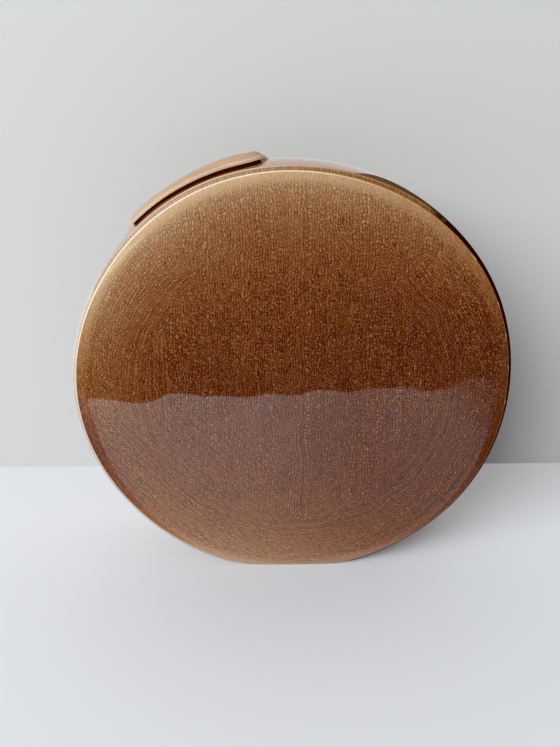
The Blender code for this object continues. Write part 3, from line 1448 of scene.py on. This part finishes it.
@dataclass
class Studio:
    """The table, the wall, the daylight, the cards that the gloss mirrors, and the camera."""

    axis_height: float
    table_front: float = -0.276
    table_drop: float = 0.0001
    table_colour: tuple[float, ...] = (0.67, 0.69, 0.73, 1)
    wall_depth: float = 0.090
    wall_colour: tuple[float, ...] = (0.53, 0.53, 0.525, 1)
    matt: float = 0.9
    card_colour: tuple[float, ...] = (0.016, 0.013, 0.010, 1)
    shade_tint: tuple[float, ...] = (1.0, 0.96, 0.90, 1)
    lamp_place: tuple[float, float, float] = (-2.2, -2.4, 2.0)
    lamp_size: float = 2.4
    lamp_power: float = 190.0
    camera_place: tuple[float, float, float] = (-0.01171, -0.33909, 0.14229)
    camera_tilt: float = 22.59
    camera_turn: float = 0.78
    focal_pixels: float = 604.0
    image_height: int = 747
    sensor: float = 36.0

    def table(self) -> None:
        """A pale table top."""
        graph, output = new_material("table_cloth")
        inputs = {"Base Color": self.table_colour, "Roughness": self.matt}
        shader = graph.node("ShaderNodeBsdfPrincipled", {}, inputs)
        graph.tree.links.new(shader.socket, output)
        floor = self.panel("table", (3.0, 3.0), Matrix.Identity(4), "table_cloth")
        floor.location.z = -self.table_drop

    def wall(self) -> None:
        """A pale wall behind the vase, which only the camera sees, and only from its front."""
        graph, output = new_material("wall_paint")
        behind = graph.node("ShaderNodeNewGeometry", {}, {}, "Backfacing")
        inputs = {"Base Color": self.wall_colour, "Roughness": self.matt}
        paint = graph.node("ShaderNodeBsdfPrincipled", {}, inputs)
        clear = graph.node("ShaderNodeBsdfTransparent", {}, {})
        shader = graph.node("ShaderNodeMixShader", {}, {0: behind, 1: paint, 2: clear})
        graph.tree.links.new(shader.socket, output)
        upright = Matrix.Translation((0, self.wall_depth, 0)) @ Matrix.Rotation(pi / 2, 4, "X")
        wall = self.panel("wall", (3.0, 3.0), upright, "wall_paint")
        self.hide(wall, "diffuse", "glossy", "shadow", "transmission")

    def hide(self, panel: bpy.types.Object, *rays: str) -> None:
        """Keeps a panel from being seen by some kinds of rays."""
        for ray in rays:
            setattr(panel, f"visible_{ray}", False)

    def panel(self, name: str, size: tuple[float, float], place: Matrix, material: str) -> bpy.types.Object:
        """A flat stage panel.

        Args:
            name: the panel's name.
            size: half its width and height.
            place: where it stands.
            material: the name of its material.

        Returns:
            The panel.
        """
        wide, tall = size
        mesh = bpy.data.meshes.new(name)
        corners = [(-wide, -tall, 0), (wide, -tall, 0), (wide, tall, 0), (-wide, tall, 0)]
        mesh.from_pydata([place @ Vector(corner) for corner in corners], [], [(0, 1, 2, 3)])
        mesh.materials.append(bpy.data.materials[material])
        panel = bpy.data.objects.new(name, mesh)
        bpy.context.scene.collection.objects.link(panel)
        return panel

    def card_paint(self, graph: Graph) -> Field:
        """The nearly black surface of the cards."""
        return graph.node("ShaderNodeEmission", {}, {"Color": self.card_colour, "Strength": 1.0})

    def table_shade(self) -> None:
        """A veil over the mirrored table: darker to the right, and darkest outside two curved borders."""
        graph, output = new_material("table_shade")
        across, towards_wall, _ = graph.parts(graph.node("ShaderNodeTexCoord", {}, {}, "Object"))
        share = 0.42 * graph.step(across, -0.05, 0.08) + 0.4 * graph.step(across, 0.16, 0.22)
        border = 0.37 * graph.clamped(-towards_wall - 0.03) ** 0.5
        share = share + 0.7 * graph.step(-across - border, 0.024, 0.032)
        share = share + 0.4 * graph.step(across - border, 0.045, 0.052)
        clear = graph.node("ShaderNodeBsdfTransparent", {}, {"Color": self.shade_tint})
        mixed = graph.node("ShaderNodeMixShader", {}, {0: share, 1: clear, 2: self.card_paint(graph)})
        graph.tree.links.new(mixed.socket, output)

    def cards(self) -> None:
        """Cards that only gloss mirrors, for the dim parts of the room and the shaded table."""
        graph, output = new_material("dark_card")
        graph.tree.links.new(self.card_paint(graph).socket, output)
        self.table_shade()
        move, turn = Matrix.Translation, Matrix.Rotation
        edge, pivot = (-0.2, self.table_front, 0.001), (0.2, -3.0, 0)
        places = {
            "card_floor": ((4.0, 3.0), move(edge) @ turn(radians(-5.0), 4, "Z") @ move(pivot)),
            "card_right": ((3.0, 3.0), move((0.42, -1.3, 0)) @ turn(pi / 2, 4, "Y")),
            "card_left": ((3.0, 3.0), move((-1.1, 0, 3.35)) @ turn(pi / 2, 4, "Y")),
            "card_far": ((2.4, 2.6), move((1.6, -2.0, 0)) @ turn(pi / 2, 4, "X")),
            "card_above": ((1.2, 1.6), move((0.6, -0.7, 1.2))),
            "card_near": ((1.0, 0.15), move((0, -0.19, 0.0012))),
        }
        for name, (size, place) in places.items():
            card = self.panel(name, size, place, "table_shade" if name == "card_near" else "dark_card")
            self.hide(card, "camera", "diffuse", "shadow", "transmission")

    def room(self) -> None:
        """The room's own light: bright behind and left, dark in front and right, and plain where seen."""
        world = bpy.data.worlds.new("room")
        bpy.context.scene.world = world
        world.use_nodes = True
        graph = Graph(world.node_tree)
        output = world.node_tree.nodes.new("ShaderNodeOutputWorld").inputs["Surface"]
        x, y, z = graph.parts(graph.node("ShaderNodeTexCoord", {}, {}, "Generated"))
        behind = graph.step(y, 0.0, 0.35)
        left = graph.step(-x, 0.2, 0.8)
        above = graph.step(z, 0.3, 0.9)
        light = 0.08 + 0.60 * behind + 0.55 * left * (1 - behind) + 0.25 * above
        rays = graph.node("ShaderNodeLightPath", {}, {}, "Is Camera Ray")
        seen = graph.clamped(rays + rays.other("Is Glossy Ray") + rays.other("Is Transmission Ray"))
        strength = seen * 0.8 + (1 - seen) * graph.clamped(light)
        colour = graph.blend(seen, (1.0, 0.97, 0.92, 1), (0.97, 0.98, 1.0, 1))
        shader = graph.node("ShaderNodeBackground", {}, {"Color": colour, "Strength": strength})
        graph.tree.links.new(shader.socket, output)

    def soft_light(self) -> None:
        """A large soft lamp high on the left, in front of the vase, which gloss doesn't mirror."""
        lamp = bpy.data.lights.new("soft_light", "AREA")
        lamp.shape = "SQUARE"
        lamp.size = self.lamp_size
        lamp.energy = self.lamp_power
        lamp.color = (0.95, 0.98, 1.0)
        holder = bpy.data.objects.new("soft_light", lamp)
        bpy.context.scene.collection.objects.link(holder)
        holder.location = self.lamp_place
        self.hide(holder, "glossy")
        aim = Vector((0, 0, self.axis_height)) - holder.location
        holder.rotation_euler = aim.to_track_quat("-Z", "Y").to_euler()

    def camera(self) -> None:
        """The camera, as worked out from the photograph's ellipses and edges."""
        lens = bpy.data.cameras.new("camera")
        lens.sensor_width = self.sensor
        lens.lens = self.focal_pixels / self.image_height * self.sensor
        lens.clip_start = 0.01
        camera = bpy.data.objects.new("camera", lens)
        bpy.context.scene.collection.objects.link(camera)
        x, y, above_axis = self.camera_place
        camera.location = (x, y, self.axis_height + above_axis)
        camera.rotation_euler = (radians(90 - self.camera_tilt), 0, -radians(self.camera_turn))
        bpy.context.scene.camera = camera

    def build(self) -> None:
        """Sets the stage."""
        self.table()
        self.wall()
        self.cards()
        self.room()
        self.soft_light()
        self.camera()
        bpy.context.scene.view_settings.view_transform = "Standard"


def main() -> None:
    """Builds and dresses the vase, piece by piece, and sets the stage."""
    logging.basicConfig(level=logging.INFO, format="%(name)s %(message)s")
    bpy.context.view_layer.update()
    disc = Disc.from_frame()
    sizes = disc.axis_height, disc.ridge_radius, disc.shoulder_radius
    face_glaze = CrackleGlaze("face_glaze", *sizes)
    band_glaze = CrackleGlaze("band_glaze", *sizes)
    collar_glaze = CrackleGlaze("collar_glaze", *sizes, edge_tone=0.46, mist_and_reflection=0.66, coat=0.25)
    mouth = Mouth(disc)
    FacePlate(disc, Side.FRONT).build(face_glaze)
    FacePlate(disc, Side.BACK).build(face_glaze)
    Hoop(disc).build(band_glaze, mouth)
    Foot(disc).build(BareClay(), band_glaze)
    mouth.build(collar_glaze)
    Studio(disc.axis_height).build()


if __name__ == "__main__":
    main()
